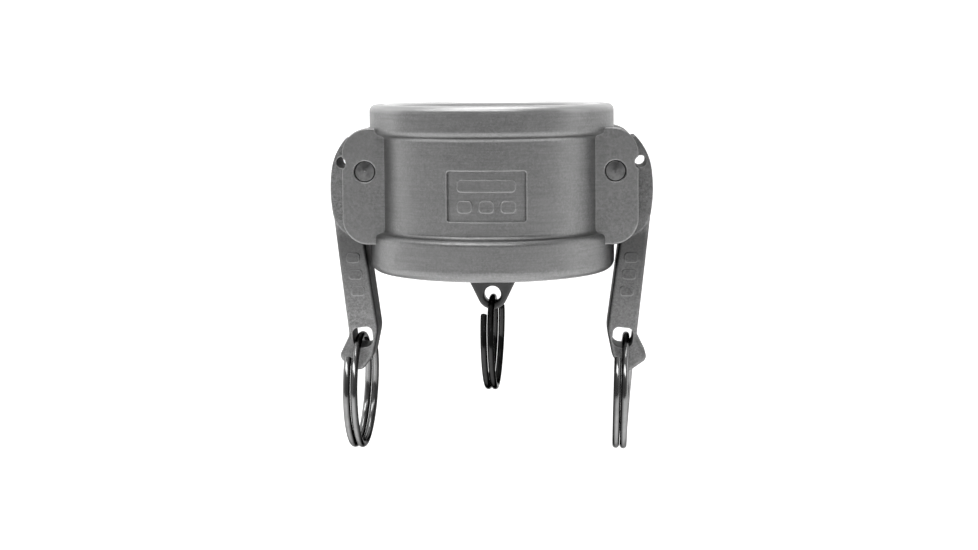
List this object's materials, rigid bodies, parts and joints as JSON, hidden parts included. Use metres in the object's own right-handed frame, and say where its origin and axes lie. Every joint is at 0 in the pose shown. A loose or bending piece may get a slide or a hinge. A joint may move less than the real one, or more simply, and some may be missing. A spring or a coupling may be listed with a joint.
{
  "type": "cam and groove dust cap",
  "caption": "Cast steel cap that closes a grooved pipe adapter: a short cup with a flat gasket inside, cam arms that turn on cross pins and lock it, and hanging split rings.",
  "frame": {"origin": "centre of the mouth, in the plane of its rim; the mount adapter_bore is stated there", "axes": "+Z along the cup's axis, out of the mouth; the cam arms stand at +X and -X and turn about pins along Y; the recessed panel faces -Y"},
  "size_m": [0.0996, 0.076, 0.1081],
  "materials": {
    "cast_body": "bead-blasted cast stainless steel",
    "cast_arm": "bead-blasted cast stainless steel, a little darker",
    "pin": "turned stainless steel",
    "ring_wire": "polished stainless wire",
    "gasket": "moulded black rubber"
  },
  "bodies": {
    "cap": {"cap_body": "cast_body", "face_gasket": "gasket", "pivot_pin_right": "pin", "pivot_pin_left": "pin"},
    "arm_right": {"cam_arm_right": "cast_arm"},
    "arm_left": {"cam_arm_left": "cast_arm"},
    "ring_right": {"pull_ring_right": "ring_wire"},
    "ring_left": {"pull_ring_left": "ring_wire"},
    "tether": {"tether_ring": "ring_wire"}
  },
  "joints": [
    {"name": "arm_right_pivot", "type": "hinge", "parent": "cap", "child": "arm_right", "pos_m": [0.0381, 0, -0.0202], "axis": [0, -1, 0], "range_deg": [0, 58]},
    {"name": "arm_left_pivot", "type": "hinge", "parent": "cap", "child": "arm_left", "pos_m": [-0.0381, 0, -0.0202], "axis": [0, 1, 0], "range_deg": [0, 58]},
    {"name": "pull_ring_right_swing", "type": "hinge", "parent": "arm_right", "child": "ring_right", "pos_m": [0.041, 0, -0.0731], "axis": [0, 1, 0], "range_deg": [-100, 80]},
    {"name": "pull_ring_left_swing", "type": "hinge", "parent": "arm_left", "child": "ring_left", "pos_m": [-0.041, 0, -0.0731], "axis": [0, 1, 0], "range_deg": [-80, 100]},
    {"name": "tether_ring_swing", "type": "hinge", "parent": "cap", "child": "tether", "pos_m": [0, 0, -0.0607], "axis": [0, 1, 0], "range_deg": [-75, 75]}
  ]
}
